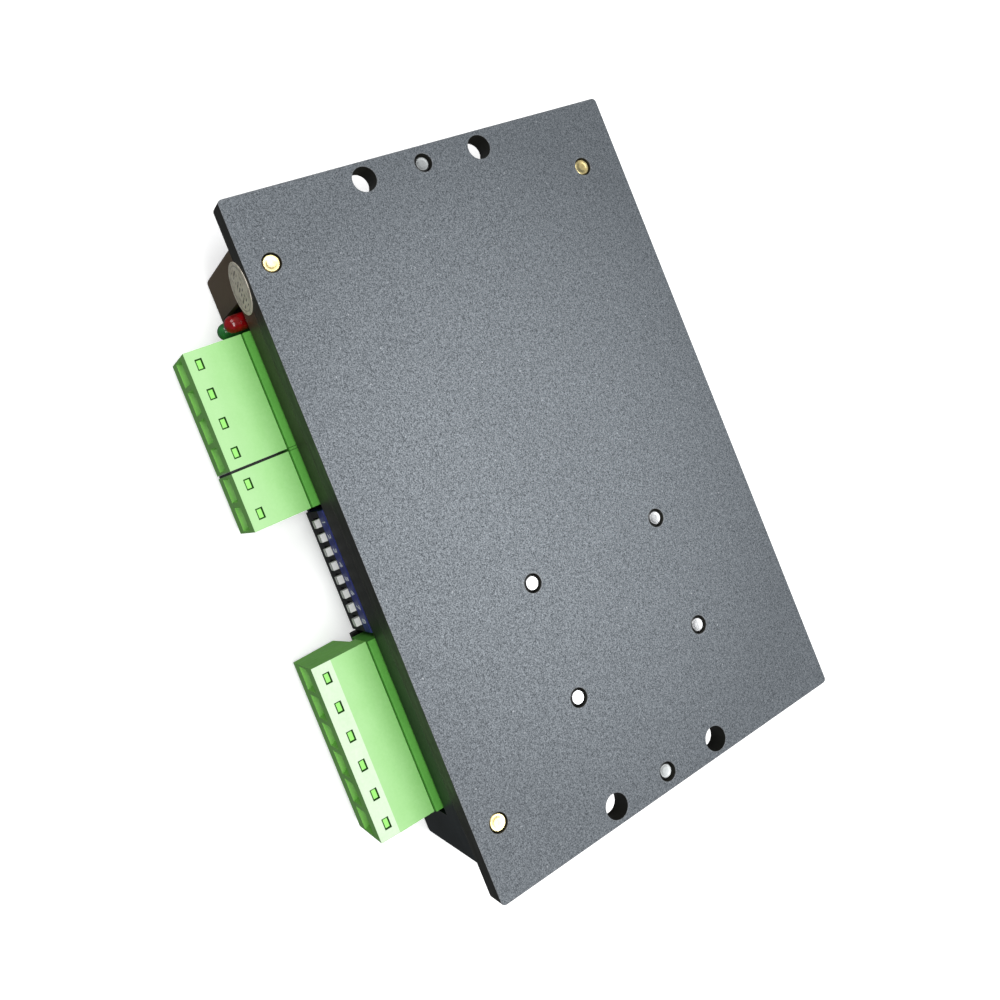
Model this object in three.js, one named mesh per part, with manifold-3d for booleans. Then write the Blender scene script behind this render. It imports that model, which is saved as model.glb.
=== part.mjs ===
// Stepper driver module: a sheet-steel cover over a circuit board, on an aluminium
// mounting plate, with pluggable screw terminals along one long side.
// Millimetres, +Z up. The module lies on its cover with the mounting plate on top: the origin is
// the centre of the cover's outer face, +X runs along the module, and the terminals point to -Y.

import * as THREE from 'three';
import { mergeVertices } from 'three/addons/utils/BufferGeometryUtils.js';
import Module from 'manifold-3d';

const wasm = await Module();
wasm.setup();

// ---- driving dimensions ----

const moduleHeight = 24;
const plateLength = 118;
const plateWidth = 75.5;
const plateThickness = 4;
const plateCornerRadius = 0.8;
const touchGap = 0.02;                    // between pieces that rest on each other
const screwGap = 0.1;                     // round a fixed screw in its hole
const clearanceGap = 0.2;                 // round a screw that passes through
const overrun = 1;                        // how far a cutting shape runs past a face

const mountHoleDiameter = 4.3;
const mountHoleX = 56;
const mountHoleY = [-12.9, 10.05];
const coverScrewX = 56;
const coverScrewY = -1.45;

const coverX = [-52.5, 53.3];
const coverWall = 1.2;
const windowX = [-44.8, 46];
const windowZ = [1.6, 14.6];
const notchX = [-9, 14.8];                // where the window runs on through the fold of the cover
const notchDepth = 1.5;
const coverTabWidth = 10;
const coverTabSetBack = 0.4;              // from the plate's end to the tab's

const boardX = [-50.8, 52];
const boardY = [-36.3, 36.2];
const boardThickness = 1.6;
const boardBottomZ = 13.9;                // its component side faces the cover

const polePitch = 5.08;
const terminalBlocks = [
  { name: '4way', ways: 4, firstPoleX: -37.4 },
  { name: '2way', ways: 2, firstPoleX: -16.73 },
  { name: '6way', ways: 6, firstPoleX: 17.05 },
];
const endMargin = 2.48;                   // from an outer pole to the end of its block

const switchPitch = 2.54;
const switchCount = 8;
const firstSwitchX = -6.08;

// ---- places worked out from them ----

const plateBottomZ = moduleHeight - plateThickness;
const boardTopZ = boardBottomZ + boardThickness;
const frontY = -plateWidth / 2;
const backY = plateWidth / 2;
const headerFrontY = frontY - 1.2;

const smallRound = 12;                    // sides of a small round
const screwRound = 16;
const bigRound = 24;

// ---- materials ----

function material(colour, roughness, metalness) {
  return new THREE.MeshStandardMaterial({ color: colour, roughness, metalness });
}

const blastedAluminium = material(0x7b7f8a, 0.6, 0.85);
const paintedSteel = material(0x16181c, 0.45, 0.3);
const boardGreen = material(0x14532d, 0.5, 0.0);
const brass = material(0xd9b454, 0.3, 0.95);
const zincSteel = material(0xbfc3c6, 0.3, 0.95);
const darkSteel = material(0x6d7272, 0.4, 0.9);
const plugGreen = material(0x5fcf58, 0.45, 0.0);
const headerGreen = material(0x3f9a3c, 0.45, 0.0);
const switchBlue = material(0x22308c, 0.4, 0.0);
const knobWhite = material(0xd6d8d2, 0.45, 0.0);
const redLens = material(0xc4121a, 0.2, 0.0);
const greenLens = material(0x1f6b35, 0.2, 0.0);
const labelPaper = material(0xa59a8c, 0.7, 0.0);
const sleeveBlack = material(0x1b1c22, 0.4, 0.1);

// ---- solids ----

function block(x, y, z) {
  const geometry = new THREE.BoxGeometry(x[1] - x[0], y[1] - y[0], z[1] - z[0]);
  return geometry.translate((x[0] + x[1]) / 2, (y[0] + y[1]) / 2, (z[0] + z[1]) / 2);
}

function roundAlongZ(diameter, x, y, z, sides = screwRound) {
  const geometry = new THREE.CylinderGeometry(diameter / 2, diameter / 2, z[1] - z[0], sides);
  return geometry.rotateX(Math.PI / 2).translate(x, y, (z[0] + z[1]) / 2);
}

function roundAlongY(diameter, x, y, z, sides = bigRound) {
  const geometry = new THREE.CylinderGeometry(diameter / 2, diameter / 2, y[1] - y[0], sides);
  return geometry.translate(x, (y[0] + y[1]) / 2, z);
}

// An outline of [y, z] points, drawn out along X.
function profileAlongX(points, x) {
  const shape = new THREE.Shape(points.map(([y, z]) => new THREE.Vector2(y, z)));
  const geometry = new THREE.ExtrudeGeometry(shape, { depth: x[1] - x[0], bevelEnabled: false });
  const turn = new THREE.Matrix4().makeBasis(
    new THREE.Vector3(0, 1, 0),
    new THREE.Vector3(0, 0, 1),
    new THREE.Vector3(1, 0, 0),
  );
  return geometry.applyMatrix4(turn).translate(x[0], 0, 0);
}

function solid(geometry) {
  const bare = geometry.clone();
  bare.deleteAttribute('normal');
  bare.deleteAttribute('uv');
  const closed = mergeVertices(bare, 1e-4);
  return new wasm.Manifold(new wasm.Mesh({
    numProp: 3,
    vertProperties: new Float32Array(closed.attributes.position.array),
    triVerts: new Uint32Array(closed.index.array),
  }));
}

function join(geometries) {
  return geometries.map(solid).reduce((whole, next) => whole.add(next));
}

function cut(body, geometries) {
  return geometries.map(solid).reduce((rest, tool) => rest.subtract(tool), body);
}

const driver = new THREE.Group();

function addPiece(name, body, finish) {
  const { vertProperties, triVerts } = body.getMesh();
  const geometry = new THREE.BufferGeometry();
  geometry.setAttribute('position', new THREE.BufferAttribute(vertProperties, 3));
  geometry.setIndex(new THREE.BufferAttribute(triVerts, 1));
  const mesh = new THREE.Mesh(geometry, finish);
  mesh.name = name;
  driver.add(mesh);
}

// ---- mounting plate ----

const screwDiameter = 3;
const plateCornerSegments = 3;
const standoffPlaces = [[-47.4, -33.2], [-47.4, 29.35], [47.3, -33.2]];
const powerScrewPlaces = [[16.3, -11.9], [16.3, 15.65], [36.9, -11.9], [36.9, 15.65]];
const coverScrewPlaces = [[-coverScrewX, coverScrewY], [coverScrewX, coverScrewY]];

function roundedOutline(width, depth, radius) {
  const x = width / 2;
  const y = depth / 2;
  const shape = new THREE.Shape();
  shape.moveTo(-x + radius, -y);
  shape.lineTo(x - radius, -y);
  shape.absarc(x - radius, -y + radius, radius, -Math.PI / 2, 0);
  shape.lineTo(x, y - radius);
  shape.absarc(x - radius, y - radius, radius, 0, Math.PI / 2);
  shape.lineTo(-x + radius, y);
  shape.absarc(-x + radius, y - radius, radius, Math.PI / 2, Math.PI);
  shape.lineTo(-x, -y + radius);
  shape.absarc(-x + radius, -y + radius, radius, Math.PI, Math.PI * 1.5);
  return shape;
}

function buildPlate() {
  const outline = roundedOutline(plateLength, plateWidth, plateCornerRadius);
  const slab = new THREE.ExtrudeGeometry(outline, {
    depth: plateThickness,
    bevelEnabled: false,
    curveSegments: plateCornerSegments,
  }).translate(0, 0, plateBottomZ);
  const through = [plateBottomZ - overrun, moduleHeight + overrun];
  const holes = [];
  for (const x of [-mountHoleX, mountHoleX]) {
    for (const y of mountHoleY) {
      holes.push(roundAlongZ(mountHoleDiameter, x, y, through, bigRound));
    }
  }
  for (const [x, y] of [...standoffPlaces, ...powerScrewPlaces, ...coverScrewPlaces]) {
    holes.push(roundAlongZ(screwDiameter + 2 * screwGap, x, y, through));
  }
  addPiece('base_plate', cut(solid(slab), holes), blastedAluminium);
}

// ---- cover: a folded tray, with the terminals' window and a screw tab at each end ----

function buildCover() {
  const topZ = plateBottomZ - touchGap;
  const tabEndX = plateLength / 2 - coverTabSetBack;
  const tabY = [coverScrewY - coverTabWidth / 2, coverScrewY + coverTabWidth / 2];
  const tabZ = [topZ - coverWall, topZ];
  const shell = join([
    block(coverX, [frontY, backY], [0, topZ]),
    block([-tabEndX, coverX[0] + coverWall], tabY, tabZ),
    block([coverX[1] - coverWall, tabEndX], tabY, tabZ),
  ]);
  const inside = block(
    [coverX[0] + coverWall, coverX[1] - coverWall],
    [frontY + coverWall, backY - coverWall],
    [coverWall, topZ + overrun],
  );
  const terminalWindow = block(windowX, [frontY - overrun, frontY + coverWall + overrun], windowZ);
  const notch = block(notchX, [frontY - overrun, frontY + notchDepth], [-overrun, windowZ[1]]);
  const screwHoles = coverScrewPlaces.map(([x, y]) => (
    roundAlongZ(screwDiameter + 2 * screwGap, x, y, [tabZ[0] - overrun, topZ + overrun])));
  addPiece('cover', cut(shell, [inside, terminalWindow, notch, ...screwHoles]), paintedSteel);
}

// ---- circuit board, and what holds it ----

function clearanceHole(x, y, z) {
  return roundAlongZ(screwDiameter + 2 * clearanceGap, x, y, [z[0] - overrun, z[1] + overrun]);
}

function buildBoard() {
  const z = [boardBottomZ, boardTopZ];
  const holes = [...standoffPlaces, ...powerScrewPlaces].map((place) => clearanceHole(...place, z));
  addPiece('circuit_board', cut(solid(block(boardX, boardY, z)), holes), boardGreen);
}

const standoffAcrossFlats = 5.5;
const standoffTipDrop = 0.05;             // from the plate's face to the standoff's end
const boreDiameter = 2.5;
const boreDepth = 4;
const boardScrewLength = 3.4;             // the part of the shank that is past the board
const powerScrewTipDrop = 0.1;
const coverScrewTipDrop = 0.15;
const panHeadRatio = 1.74;                // head diameter to thread diameter
const panHeadHeight = 1.8;
const shankRoot = 0.5;                    // how far the shank runs into its head
const recessReach = 1.3;
const recessHalfWidth = 0.35;
const recessDepth = 1;

function buildStandoff(name, [x, y]) {
  const acrossCorners = standoffAcrossFlats / Math.cos(Math.PI / 6);
  const hexZ = [boardTopZ + touchGap, plateBottomZ - touchGap];
  const body = join([
    roundAlongZ(acrossCorners, x, y, hexZ, 6),
    roundAlongZ(screwDiameter, x, y, [plateBottomZ - overrun, moduleHeight - standoffTipDrop]),
  ]);
  const boreZ = [boardTopZ - overrun, boardTopZ + boreDepth];
  const bore = roundAlongZ(boreDiameter + 2 * screwGap, x, y, boreZ);
  addPiece(name, cut(body, [bore]), brass);
}

function crossRecess(x, y, z) {
  return [
    block([x - recessReach, x + recessReach], [y - recessHalfWidth, y + recessHalfWidth], z),
    block([x - recessHalfWidth, x + recessHalfWidth], [y - recessReach, y + recessReach], z),
  ];
}

// A pan head under its seat, with a shank that runs up to tipZ.
function buildScrew(name, [x, y], diameter, seatZ, tipZ, finish) {
  const headEndZ = seatZ - panHeadHeight;
  const head = roundAlongZ(diameter * panHeadRatio, x, y, [headEndZ, seatZ]);
  const shank = roundAlongZ(diameter, x, y, [seatZ - shankRoot, tipZ]);
  const recess = crossRecess(x, y, [headEndZ - overrun, headEndZ + recessDepth]);
  addPiece(name, cut(join([head, shank]), recess), finish);
}

const spreaderThickness = 2.6;
const spreaderMargin = 5;

function buildHeatSpreader() {
  const xs = powerScrewPlaces.map(([x]) => x);
  const ys = powerScrewPlaces.map(([, y]) => y);
  const z = [plateBottomZ - touchGap - spreaderThickness, plateBottomZ - touchGap];
  const slab = block(
    [Math.min(...xs) - spreaderMargin, Math.max(...xs) + spreaderMargin],
    [Math.min(...ys) - spreaderMargin, Math.max(...ys) + spreaderMargin],
    z,
  );
  const holes = powerScrewPlaces.map((place) => clearanceHole(...place, z));
  addPiece('heat_spreader', cut(solid(slab), holes), blastedAluminium);
}

// ---- pluggable terminal blocks ----

const headerBottomZ = 5.4;
const headerDepth = 8.2;
const headerWall = 0.8;
const headerBackWall = 2;
const tongueGap = 0.3;                    // round the tongue in the header's mouth
const pinZ = 10.15;
const pinSide = 1;
const pinSetBack = 0.8;                   // from the header's front to the pin's end
const pinRoot = 0.5;                      // how far the pin runs into the back wall

const plugGap = 0.1;                      // between the plug and the header's front
const plugNearZ = 13.1;
const plugOuterY = -49.05;
const plugStepY = -40.05;
const plugTowerY = -40.95;
const plugTowerZ = 0.7;
const plugOuterZ = 2;
const plugWaistZ = 7.8;
const tongueInset = 1.1;
const tongueZ = [8.1, 12.2];
const tongueEndY = -33.4;

const screwAxisY = -44.4;
const wireMouthHalfX = 1.75;
const wireMouthZ = [5.6, 9.6];
const chamberHalfX = 2;
const chamberY = [-47, -41.8];
const chamberZ = [4.7, 12.2];
const hollowOverlap = 0.5;                // where one hollow runs on into the next
const screwHoleDiameter = 4.2;
const testHoleY = -47.1;
const testHoleHalf = [0.95, 0.6];
const testHoleDepth = 0.8;
const pinSocketHalf = 0.85;

const screwHeadDiameter = 3.8;
const screwHeadZ = [1.9, 3.7];
const shankDiameter = 2.4;
const shankEndZ = 9.2;                    // clear of the cage's far wall when it is lifted
const driverSlotHalf = 0.35;
const driverSlotDepth = 0.9;

const cageHalfX = 1.7;
const cageY = [-46.6, -42.2];
const cageZ = [7, 11.9];
const cageWall = 0.5;
const cageThreadWall = 1.2;
const cageThreadDiameter = 2.8;

function poleX(terminalBlock, pole) {
  return terminalBlock.firstPoleX + pole * polePitch;
}

function blockEnds(terminalBlock) {
  return [terminalBlock.firstPoleX - endMargin, poleX(terminalBlock, terminalBlock.ways - 1) + endMargin];
}

// The board header: a shroud that is open to -Y, with a square pin for each pole.
function buildHeader(terminalBlock) {
  const ends = blockEnds(terminalBlock);
  const shroudEndY = headerFrontY + headerDepth;
  const shroud = block(ends, [headerFrontY, shroudEndY], [headerBottomZ, boardBottomZ - touchGap]);
  const mouth = block(
    [ends[0] + headerWall, ends[1] - headerWall],
    [headerFrontY - overrun, shroudEndY - headerBackWall],
    [tongueZ[0] - tongueGap, tongueZ[1] + tongueGap],
  );
  let header = cut(solid(shroud), [mouth]);
  for (let pole = 0; pole < terminalBlock.ways; pole += 1) {
    const x = poleX(terminalBlock, pole);
    const pin = block(
      [x - pinSide / 2, x + pinSide / 2],
      [headerFrontY + pinSetBack, shroudEndY - headerBackWall + pinRoot],
      [pinZ - pinSide / 2, pinZ + pinSide / 2],
    );
    header = header.add(solid(pin));
  }
  addPiece(`header_${terminalBlock.name}`, header, headerGreen);
}

function wireMouth(x) {
  return block(
    [x - wireMouthHalfX, x + wireMouthHalfX],
    [plugOuterY - overrun, chamberY[0] + hollowOverlap],
    wireMouthZ,
  );
}

function cageChamber(x) {
  return block([x - chamberHalfX, x + chamberHalfX], chamberY, chamberZ);
}

function screwHole(x) {
  return roundAlongZ(screwHoleDiameter, x, screwAxisY, [-overrun, chamberZ[0] + hollowOverlap], smallRound);
}

function testHole(x) {
  const [halfX, halfY] = testHoleHalf;
  return block(
    [x - halfX, x + halfX],
    [testHoleY - halfY, testHoleY + halfY],
    [plugNearZ - testHoleDepth, plugNearZ + overrun],
  );
}

function pinSocket(x) {
  return block(
    [x - pinSocketHalf, x + pinSocketHalf],
    [chamberY[1] - hollowOverlap, tongueEndY + overrun],
    [pinZ - pinSocketHalf, pinZ + pinSocketHalf],
  );
}

function buildPlug(terminalBlock) {
  const ends = blockEnds(terminalBlock);
  const faceY = headerFrontY - plugGap;
  const outline = [
    [faceY, plugNearZ],
    [plugOuterY, plugNearZ],
    [plugOuterY, plugOuterZ],
    [plugTowerY, plugTowerZ],
    [plugStepY, plugWaistZ],
    [faceY, plugWaistZ],
  ];
  const tongueX = [ends[0] + tongueInset, ends[1] - tongueInset];
  const tongue = block(tongueX, [faceY - overrun, tongueEndY], tongueZ);
  let plug = join([profileAlongX(outline, ends), tongue]);
  for (let pole = 0; pole < terminalBlock.ways; pole += 1) {
    const x = poleX(terminalBlock, pole);
    plug = cut(plug, [wireMouth(x), cageChamber(x), screwHole(x), testHole(x), pinSocket(x)]);
  }
  addPiece(`plug_${terminalBlock.name}`, plug, plugGreen);
}

// The captive screw of one pole: it turns in place and lifts the cage towards its head.
function buildTerminalScrew(name, x) {
  const body = join([
    roundAlongZ(screwHeadDiameter, x, screwAxisY, screwHeadZ, smallRound),
    roundAlongZ(shankDiameter, x, screwAxisY, [screwHeadZ[1] - shankRoot, shankEndZ], smallRound),
  ]);
  const slot = block(
    [x - screwHeadDiameter, x + screwHeadDiameter],
    [screwAxisY - driverSlotHalf, screwAxisY + driverSlotHalf],
    [screwHeadZ[0] - overrun, screwHeadZ[0] + driverSlotDepth],
  );
  addPiece(name, cut(body, [slot]), zincSteel);
}

// The cage: a square frame, open along Y for the wire, with the screw through its lower wall.
function buildWireClamp(name, x) {
  const frame = solid(block([x - cageHalfX, x + cageHalfX], cageY, cageZ));
  const wireWay = block(
    [x - cageHalfX + cageWall, x + cageHalfX - cageWall],
    [cageY[0] - overrun, cageY[1] + overrun],
    [cageZ[0] + cageThreadWall, cageZ[1] - cageWall],
  );
  const threadZ = [cageZ[0] - overrun, cageZ[0] + cageThreadWall + hollowOverlap];
  const thread = roundAlongZ(cageThreadDiameter, x, screwAxisY, threadZ, smallRound);
  addPiece(name, cut(frame, [wireWay, thread]), zincSteel);
}

// ---- setting switches ----

const switchFaceY = frontY + 0.1;
const switchBodyDepth = 5.4;
const switchBodyHeight = 9.8;
const switchStandOff = 0.5;
const switchEndMargin = 2.05;
const slotZ = [6.7, 10.3];
const slotHalfWidth = 0.9;
const slotDepth = 1.6;
const knobHeight = 1.5;
const knobHalfWidth = 0.75;
const knobStandOut = 1;
const knobGap = 0.1;                      // inside its slot

function switchX(index) {
  return firstSwitchX + index * switchPitch;
}

function buildSwitchBody() {
  const bodyTopZ = boardBottomZ - switchStandOff;
  const bodyZ = [bodyTopZ - switchBodyHeight, bodyTopZ];
  const bodyX = [firstSwitchX - switchEndMargin, switchX(switchCount - 1) + switchEndMargin];
  const body = solid(block(bodyX, [switchFaceY, switchFaceY + switchBodyDepth], bodyZ));
  const slotY = [switchFaceY - overrun, switchFaceY + slotDepth];
  const slots = [];
  for (let index = 0; index < switchCount; index += 1) {
    const x = switchX(index);
    slots.push(block([x - slotHalfWidth, x + slotHalfWidth], slotY, slotZ));
  }
  addPiece('dip_body', cut(body, slots), switchBlue);
}

// A knob at the plate's end of its slot, on a foot that stays inside the slot.
function buildSlider(index) {
  const x = switchX(index);
  const topZ = slotZ[1] - knobGap;
  const knob = block(
    [x - knobHalfWidth, x + knobHalfWidth],
    [switchFaceY - knobStandOut, switchFaceY + slotDepth - knobGap],
    [topZ - knobHeight, topZ],
  );
  addPiece(`dip_slider_${index + 1}`, solid(knob), knobWhite);
}

// ---- indicator lamps ----

const lampX = -42;
const redLampZ = 11.9;
const greenLampZ = 6.2;
const lampRadius = 1.5;
const lampTipY = -40.8;
const lampBaseY = -34.35;
const lampDomeSteps = 4;
const flangeDiameter = 3.8;
const flangeLength = 1;

function buildLamp(name, z, finish) {
  const domeY = lampTipY + lampRadius;
  const outline = [new THREE.Vector2(0, lampTipY)];
  for (let step = lampDomeSteps - 1; step >= 0; step -= 1) {
    const angle = (step / lampDomeSteps) * Math.PI / 2;
    outline.push(new THREE.Vector2(lampRadius * Math.cos(angle), domeY - lampRadius * Math.sin(angle)));
  }
  outline.push(new THREE.Vector2(lampRadius, lampBaseY));
  outline.push(new THREE.Vector2(0, lampBaseY));
  const lens = new THREE.LatheGeometry(outline, smallRound).translate(lampX, 0, z);
  const flangeY = [lampBaseY - flangeLength / 2, lampBaseY + flangeLength / 2];
  const flange = roundAlongY(flangeDiameter, lampX, flangeY, z, smallRound);
  addPiece(name, join([lens, flange]), finish);
}

// ---- other pieces ----

const capacitorDiameter = 10;
const capacitorY = [6, 27];
const capacitorXs = [26.6, 45.6];
const capacitorGap = 0.3;                 // between the capacitor and the board

function buildCapacitor(name, x) {
  const z = boardBottomZ - capacitorDiameter / 2 - capacitorGap;
  addPiece(name, solid(roundAlongY(capacitorDiameter, x, capacitorY, z)), sleeveBlack);
}

const sealDiameter = 8.8;
const sealX = -46;
const sealZ = 18.5;
const sealThickness = 0.15;

function buildSeal() {
  const y = [frontY - touchGap - sealThickness, frontY - touchGap];
  addPiece('seal_sticker', solid(roundAlongY(sealDiameter, sealX, y, sealZ)), labelPaper);
}

// ---- the whole module ----

const boardSeatZ = boardBottomZ - touchGap;
const coverSeatZ = plateBottomZ - coverWall - 2 * touchGap;

buildPlate();
buildCover();
buildBoard();
buildHeatSpreader();
standoffPlaces.forEach((place, index) => {
  const name = `board_screw_${index + 1}`;
  buildStandoff(`standoff_${index + 1}`, place);
  buildScrew(name, place, boreDiameter, boardSeatZ, boardTopZ + boardScrewLength, zincSteel);
});
powerScrewPlaces.forEach((place, index) => {
  const name = `power_screw_${index + 1}`;
  buildScrew(name, place, screwDiameter, boardSeatZ, moduleHeight - powerScrewTipDrop, zincSteel);
});
coverScrewPlaces.forEach((place, index) => {
  const name = `cover_screw_${index + 1}`;
  buildScrew(name, place, screwDiameter, coverSeatZ, moduleHeight - coverScrewTipDrop, darkSteel);
});
for (const terminalBlock of terminalBlocks) {
  buildHeader(terminalBlock);
  buildPlug(terminalBlock);
  for (let pole = 0; pole < terminalBlock.ways; pole += 1) {
    const x = poleX(terminalBlock, pole);
    buildTerminalScrew(`screw_${terminalBlock.name}_${pole + 1}`, x);
    buildWireClamp(`clamp_${terminalBlock.name}_${pole + 1}`, x);
  }
}
buildSwitchBody();
for (let index = 0; index < switchCount; index += 1) {
  buildSlider(index);
}
buildLamp('red_led', redLampZ, redLens);
buildLamp('green_led', greenLampZ, greenLens);
capacitorXs.forEach((x, index) => buildCapacitor(`capacitor_${index + 1}`, x));
buildSeal();

export default driver;
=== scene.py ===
import math
import bpy
from mathutils import Matrix, Vector


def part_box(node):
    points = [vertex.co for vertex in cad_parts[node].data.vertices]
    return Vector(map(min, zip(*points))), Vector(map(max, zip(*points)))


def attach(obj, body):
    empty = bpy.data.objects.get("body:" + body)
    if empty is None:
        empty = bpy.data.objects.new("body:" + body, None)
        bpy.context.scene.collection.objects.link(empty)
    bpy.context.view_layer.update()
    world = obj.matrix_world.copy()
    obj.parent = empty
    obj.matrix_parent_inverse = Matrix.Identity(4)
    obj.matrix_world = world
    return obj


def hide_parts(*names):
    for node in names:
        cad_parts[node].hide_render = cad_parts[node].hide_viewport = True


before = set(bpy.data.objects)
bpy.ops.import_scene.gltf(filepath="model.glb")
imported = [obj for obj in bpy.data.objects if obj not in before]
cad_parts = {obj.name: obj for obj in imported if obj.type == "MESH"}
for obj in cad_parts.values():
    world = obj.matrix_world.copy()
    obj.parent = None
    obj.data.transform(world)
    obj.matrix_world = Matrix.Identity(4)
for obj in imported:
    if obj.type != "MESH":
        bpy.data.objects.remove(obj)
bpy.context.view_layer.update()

scene = bpy.context.scene
scene.view_settings.view_transform = "Standard"
mm = 0.001


# modelling helpers

def deselectAll():
    if bpy.context.mode != "OBJECT":
        bpy.ops.object.mode_set(mode="OBJECT")
    bpy.ops.object.select_all(action="DESELECT")


def makeActive(piece):
    deselectAll()
    piece.select_set(True)
    bpy.context.view_layer.objects.active = piece


def settle(piece, name):  # its place goes into its mesh
    makeActive(piece)
    bpy.ops.object.transform_apply(location=True, rotation=True, scale=True)
    piece.name = name
    piece.data.name = name
    return piece


def addBlock(name, low, high):
    deselectAll()
    middle = [(a + b) / 2 for a, b in zip(low, high)]
    bpy.ops.mesh.primitive_cube_add(size=1, location=middle)
    piece = bpy.context.object
    piece.scale = [b - a for a, b in zip(low, high)]
    return settle(piece, name)


def addRound(name, start, end, radius, sides=48, endRadius=None):  # a cylinder or cone between two points
    deselectAll()
    start, end = Vector(start), Vector(end)
    turn = (end - start).to_track_quat("Z", "Y").to_euler()
    bpy.ops.mesh.primitive_cone_add(vertices=sides, radius1=radius,
                                    radius2=radius if endRadius is None else endRadius,
                                    depth=(end - start).length, location=(start + end) / 2, rotation=turn)
    return settle(bpy.context.object, name)


def addPost(name, spot, lowZ, highZ, radius, sides=48, endRadius=None):  # upright, at the spot's x and y
    return addRound(name, (spot[0], spot[1], lowZ), (spot[0], spot[1], highZ), radius, sides, endRadius)


def addBall(name, centre, radius, segments=48, rings=24):
    deselectAll()
    bpy.ops.mesh.primitive_uv_sphere_add(segments=segments, ring_count=rings, radius=radius,
                                         location=centre)
    return settle(bpy.context.object, name)


def clearPicks(piece, kind):
    makeActive(piece)
    bpy.ops.object.mode_set(mode="EDIT")
    bpy.ops.mesh.select_mode(type=kind)
    bpy.ops.mesh.select_all(action="DESELECT")
    bpy.ops.object.mode_set(mode="OBJECT")


def pickFaces(piece, test):  # leaves the piece in edit mode with those faces selected
    clearPicks(piece, "FACE")
    for face in piece.data.polygons:
        face.select = test(face.center, face.normal)
    bpy.ops.object.mode_set(mode="EDIT")


def pickEdges(piece, test):
    clearPicks(piece, "EDGE")
    points = piece.data.vertices
    for edge in piece.data.edges:
        edge.select = test(points[edge.vertices[0]].co, points[edge.vertices[1]].co)
    bpy.ops.object.mode_set(mode="EDIT")


def editWhole(piece):
    makeActive(piece)
    bpy.ops.object.mode_set(mode="EDIT")
    bpy.ops.mesh.select_all(action="SELECT")


def doneEditing():
    bpy.ops.object.mode_set(mode="OBJECT")


def looksUp(centre, normal):
    return normal.z > 0.9


def looksDown(centre, normal):
    return normal.z < -0.9


def looksOut(centre, normal):  # toward the connector side
    return normal.y < -0.9


def isUpright(a, b):
    return abs(a.x - b.x) < 1e-6 and abs(a.y - b.y) < 1e-6


def bevelEdges(piece, test, width, segments):
    pickEdges(piece, test)
    bpy.ops.mesh.bevel(offset=width, segments=segments, affect="EDGES")
    doneEditing()


def insetFaces(piece, test, steps):
    pickFaces(piece, test)
    for thickness, depth in steps:
        bpy.ops.mesh.inset(thickness=thickness, depth=depth)
    doneEditing()


def taperFaces(piece, test, factors, centre):
    pickFaces(piece, test)
    bpy.ops.transform.resize(value=factors, center_override=centre)
    doneEditing()


def cutPlane(piece, point, normal):  # removes what is on the normal's side
    editWhole(piece)
    bpy.ops.mesh.bisect(plane_co=point, plane_no=normal, use_fill=True, clear_outer=True, threshold=1e-7)
    bpy.ops.mesh.select_all(action="SELECT")
    bpy.ops.mesh.normals_make_consistent(inside=False)
    doneEditing()


def applyModifiers(piece):
    makeActive(piece)
    for modifier in list(piece.modifiers):
        bpy.ops.object.modifier_apply(modifier=modifier.name)


def boolean(piece, tools, operation="DIFFERENCE"):
    tool = joinPieces(tools, "tool") if len(tools) > 1 else tools[0]
    change = piece.modifiers.new("boolean", "BOOLEAN")
    change.operation = operation
    change.solver = "EXACT"
    change.use_self = len(tools) > 1
    change.object = tool
    applyModifiers(piece)
    bpy.data.objects.remove(tool, do_unlink=True)
    return piece


def joinPieces(parts, name):
    deselectAll()
    for part in parts:
        part.select_set(True)
    bpy.context.view_layer.objects.active = parts[0]
    if len(parts) > 1:
        bpy.ops.object.join()
    parts[0].name = name
    parts[0].data.name = name
    return parts[0]


def softenEdges(piece, width, segments=2, angle=35):
    change = piece.modifiers.new("soften", "BEVEL")
    change.width = width
    change.segments = segments
    change.limit_method = "ANGLE"
    change.angle_limit = math.radians(angle)
    change.use_clamp_overlap = True
    change.harden_normals = False
    applyModifiers(piece)
    return piece


def copyAt(piece, name, shift):  # a copy with its own mesh
    twin = piece.copy()
    twin.data = piece.data.copy()
    scene.collection.objects.link(twin)
    twin.location = shift
    return settle(twin, name)


def copyOfNode(node, name):  # the CAD node's shape, merged and its flat faces made whole
    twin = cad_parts[node].copy()
    twin.data = twin.data.copy()
    twin.parent = None
    for key in list(twin.keys()):
        del twin[key]
    scene.collection.objects.link(twin)
    twin.name = name
    twin.data.name = name
    editWhole(twin)
    bpy.ops.mesh.remove_doubles(threshold=1e-6)
    bpy.ops.mesh.dissolve_limited(angle_limit=math.radians(1))
    doneEditing()
    return twin


def finishPiece(piece, finish, body, slot, nodes=(), angle=35):  # finish is a key of finishes
    makeActive(piece)
    bpy.ops.object.shade_smooth_by_angle(angle=math.radians(angle))
    even = piece.modifiers.new("evenShading", "WEIGHTED_NORMAL")  # wide faces stay flat beside bevels
    even.keep_sharp = True
    applyModifiers(piece)
    piece.data.materials.clear()
    piece.data.materials.append(finishes[finish])
    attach(piece, body)
    if nodes:
        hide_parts(*nodes)
    return piece


def finishTin(piece):
    finishPiece(piece, "tin", "root", "zinc_steel")


def measure(node):  # a CAD node's two corners and its middle
    low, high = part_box(node)
    return low, high, (low + high) / 2


def middleOf(node):
    return measure(node)[2]


def drill(spot, low, high, radius, sides):  # a tool right through what lies between two corners
    return addPost("tool", spot, low.z - mm, high.z + mm, radius, sides)


# shader helpers

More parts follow.
